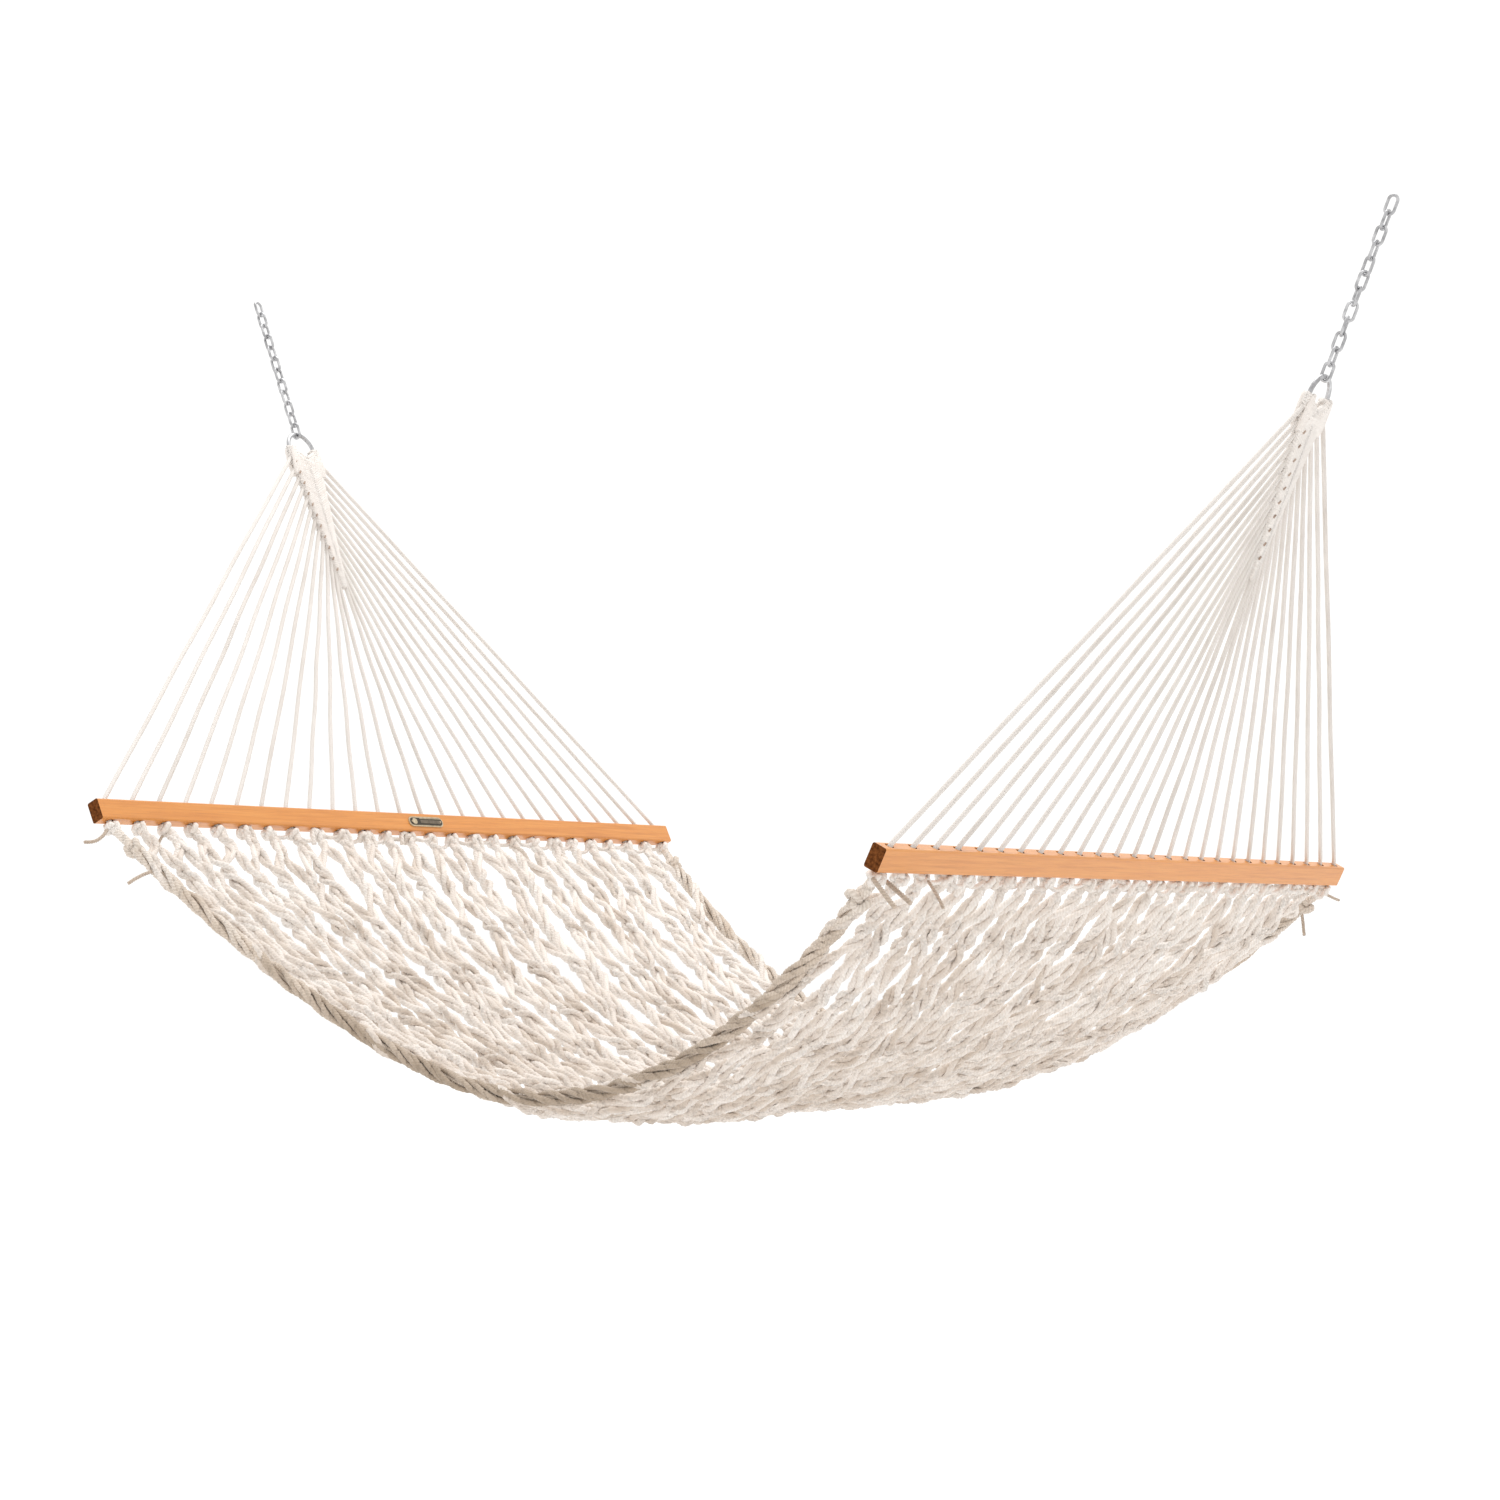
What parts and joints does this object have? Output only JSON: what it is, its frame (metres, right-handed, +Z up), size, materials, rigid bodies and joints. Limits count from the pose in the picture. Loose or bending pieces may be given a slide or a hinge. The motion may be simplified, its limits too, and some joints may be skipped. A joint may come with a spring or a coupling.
{
  "type": "rope hammock",
  "caption": "Rope hammock: a wide rope net hung between two wooden spreader bars, with fanned clew strings, woven heads, rings and hanging chains.",
  "frame": {"origin": "the point where a hook bears inside the left chain's end link", "axes": "+X along the hammock from the left chain towards the right chain, +Y across the bed away from the viewer's side, +Z up; the hammock hangs as it does in use"},
  "size_m": [2.1452, 1.4749, 1.3447],
  "materials": {
    "zinc": "zinc-plated steel, satin, slightly dull",
    "wood": "varnished warm tan hardwood, satin, fine straight grain",
    "clew_cord": "thin cream cord, plaited into a woven head",
    "bed_rope": "three-strand twisted oatmeal cotton-polyester rope",
    "badge_rim": "pale gold pressed plate",
    "badge_field": "dark enamel field, blank"
  },
  "bodies": {
    "hooks": {"link_left_12": "zinc", "link_right_12": "zinc"},
    "cradle": {"link_left_11": "zinc", "link_right_11": "zinc"},
    "left_clew": {"link_left_01": "zinc", "link_left_02": "zinc", "link_left_03": "zinc", "link_left_04": "zinc", "link_left_05": "zinc", "link_left_06": "zinc", "link_left_07": "zinc", "link_left_08": "zinc", "link_left_09": "zinc", "link_left_10": "zinc", "ring_left": "zinc", "clew_head_left": "clew_cord", "clew_strings_left": "clew_cord"},
    "right_clew": {"link_right_01": "zinc", "link_right_02": "zinc", "link_right_03": "zinc", "link_right_04": "zinc", "link_right_05": "zinc", "link_right_06": "zinc", "link_right_07": "zinc", "link_right_08": "zinc", "link_right_09": "zinc", "link_right_10": "zinc", "ring_right": "zinc", "clew_head_right": "clew_cord", "clew_strings_right": "clew_cord"},
    "left_bar": {"spreader_bar_left": "wood", "bar_knots_left": "bed_rope", "badge_plate": "badge_rim", "badge_face": "badge_field", "badge_pins": "badge_rim", "tail_left_corner": "bed_rope"},
    "right_bar": {"spreader_bar_right": "wood", "bar_knots_right": "bed_rope", "tail_right_corner": "bed_rope", "tail_right_second": "bed_rope", "tail_right_inner": "bed_rope", "tail_far_corner": "bed_rope"},
    "bed": {"bed_net": "bed_rope", "bed_edge_near": "bed_rope", "bed_edge_far": "bed_rope", "tail_left_edge": "bed_rope", "tail_left_inner": "bed_rope", "tail_far_edge": "bed_rope"}
  },
  "joints": [
    {"name": "swing", "type": "hinge", "parent": "hooks", "child": "cradle", "pos_m": [0.00969, 0, -0.02014], "axis": [0.9998, 0, 0.0178], "range_deg": [-25, 25]},
    {"name": "left_sway", "type": "hinge", "parent": "cradle", "child": "left_clew", "pos_m": [0.01923, 0, -0.03996], "axis": [0, 1, 0], "range_deg": [-5, 5]},
    {"name": "right_sway", "type": "hinge", "parent": "cradle", "child": "right_clew", "pos_m": [2.11923, 0, -0.00312], "axis": [0, 1, 0], "range_deg": [-5, 5]},
    {"name": "bed_sway", "type": "hinge", "parent": "left_clew", "child": "bed", "pos_m": [0.44423, 0, -0.9202], "axis": [0, 1, 0], "range_deg": [-8, 8]},
    {"name": "left_bar_tilt", "type": "hinge", "parent": "left_clew", "child": "left_bar", "pos_m": [0.43294, 0, -0.89959], "axis": [0, 1, 0], "range_deg": [-6, 6], "stiffness_Nm_per_rad": 5},
    {"name": "right_bar_tilt", "type": "hinge", "parent": "right_clew", "child": "right_bar", "pos_m": [1.79294, 0, -0.89959], "axis": [0, 1, 0], "range_deg": [-6, 6], "stiffness_Nm_per_rad": 5}
  ],
  "couplings": [
    {"joint": "right_sway", "follows": "left_sway", "ratio": 0.96},
    {"joint": "bed_sway", "follows": "left_sway", "ratio": -1.56}
  ]
}
